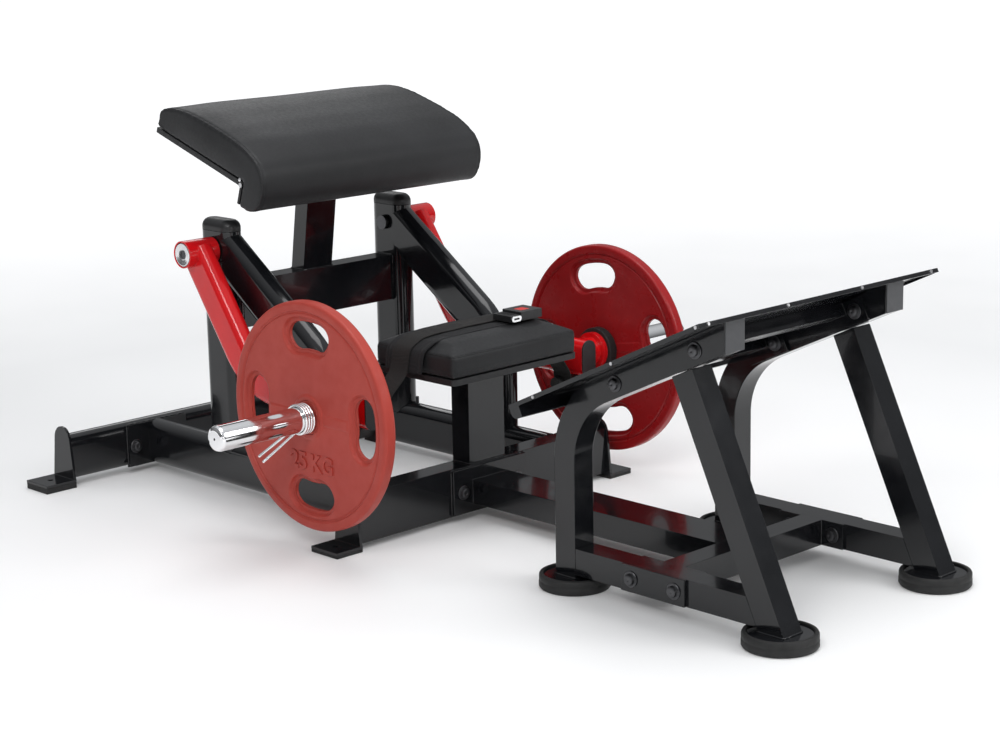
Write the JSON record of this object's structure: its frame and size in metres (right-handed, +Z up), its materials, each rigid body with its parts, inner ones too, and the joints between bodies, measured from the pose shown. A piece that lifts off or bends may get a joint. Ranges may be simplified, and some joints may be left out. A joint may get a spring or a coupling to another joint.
{
  "type": "plate-loaded hip thrust machine",
  "caption": "Floor-standing hip thrust machine with a shoulder pad, low seat, lap belt on pivoting arms with plate horns, and a sloping foot plate.",
  "frame": {"origin": "on the floor, middle of the machine's length and width", "axes": "+X towards the foot plate, +Y to the sitter's left, +Z up"},
  "size_m": [1.89, 1.3, 0.82],
  "materials": {
    "frame_black": "gloss powder coat",
    "pad_rubber": "matt",
    "black_plastic": "satin moulded",
    "board": "painted plywood",
    "vinyl": "grained upholstery vinyl",
    "arm_red": "gloss powder coat",
    "chrome": "polished",
    "steel": "zinc plated",
    "plate_red": "rubber coated, satin",
    "webbing": "woven",
    "button_red": "moulded"
  },
  "bodies": {
    "frame": {"rear_cross_beam": "frame_black", "base_beam_left": "frame_black", "base_beam_right": "frame_black", "front_cross_beam": "frame_black", "rear_foot_left": "frame_black", "rear_foot_right": "frame_black", "front_foot_left": "frame_black", "front_foot_right": "frame_black", "upright_left": "frame_black", "upright_right": "frame_black", "brace_left": "frame_black", "brace_right": "frame_black", "crossbar": "frame_black", "pad_post": "frame_black", "pad_mounting_plate": "frame_black", "seat_post": "frame_black", "centre_beam": "frame_black", "bent_leg_left": "frame_black", "bent_leg_right": "frame_black", "rear_leg_left": "frame_black", "rear_leg_right": "frame_black", "side_tubes": "frame_black", "lower_cross_tube": "frame_black", "joint_plates": "frame_black", "upper_cross_tubes": "frame_black", "foot_plate": "frame_black", "anchor_foot_pads": "pad_rubber", "foot_rings": "pad_rubber", "upright_caps": "black_plastic", "bent_leg_caps": "black_plastic", "back_pad_board": "board", "seat_board": "board", "back_pad": "vinyl", "seat_pad": "vinyl", "pivot_end_caps": "chrome", "frame_bolts": "steel", "pivot_axles": "steel", "trim_screws": "steel", "foot_discs": "steel"},
    "arm_left_body": {"arm_left": "arm_red", "arm_end_cap_left": "black_plastic", "horn_ring_left": "pad_rubber", "horn_sleeve_left": "chrome", "strap_anchor_left": "pad_rubber", "belt_strap": "webbing", "belt_pad": "vinyl", "buckle_body": "black_plastic"},
    "arm_right_body": {"arm_right": "arm_red", "arm_end_cap_right": "black_plastic", "horn_ring_right": "pad_rubber", "horn_sleeve_right": "chrome", "strap_anchor_right": "pad_rubber"},
    "plate_left": {"weight_plate_left": "plate_red", "plate_bush_left": "chrome"},
    "plate_right": {"weight_plate_right": "plate_red", "plate_bush_right": "chrome"},
    "clip_left": {"spring_clip_left": "chrome"},
    "clip_right": {"spring_clip_right": "chrome"},
    "button": {"buckle_button": "button_red"},
    "tongue": {"buckle_tongue": "steel"}
  },
  "joints": [
    {"name": "arm_left_pivot", "type": "hinge", "parent": "frame", "child": "arm_left_body", "pos_m": [-0.606, 0.3, 0.524], "axis": [0, -1, 0], "range_deg": [0, 40]},
    {"name": "arm_right_pivot", "type": "hinge", "parent": "frame", "child": "arm_right_body", "pos_m": [-0.606, -0.3, 0.524], "axis": [0, -1, 0], "range_deg": [0, 40]},
    {"name": "plate_left_slide", "type": "slide", "parent": "arm_left_body", "child": "plate_left", "axis": [0, 1, 0], "range_m": [0, 0.26]},
    {"name": "clip_left_slide", "type": "slide", "parent": "plate_left", "child": "clip_left", "axis": [0, 1, 0], "range_m": [0, 0.225]},
    {"name": "plate_right_slide", "type": "slide", "parent": "arm_right_body", "child": "plate_right", "axis": [0, -1, 0], "range_m": [0, 0.26]},
    {"name": "clip_right_slide", "type": "slide", "parent": "plate_right", "child": "clip_right", "axis": [0, -1, 0], "range_m": [0, 0.225]},
    {"name": "buckle_button_press", "type": "slide", "parent": "arm_left_body", "child": "button", "axis": [0, 0, -1], "range_m": [0, 0.001], "stiffness_N_per_m": 300},
    {"name": "buckle_tongue_slide", "type": "slide", "parent": "arm_left_body", "child": "tongue", "axis": [0, -1, 0], "range_m": [0, 0.03]}
  ],
  "couplings": [
    {"joint": "arm_right_pivot", "follows": "arm_left_pivot", "ratio": 1}
  ]
}
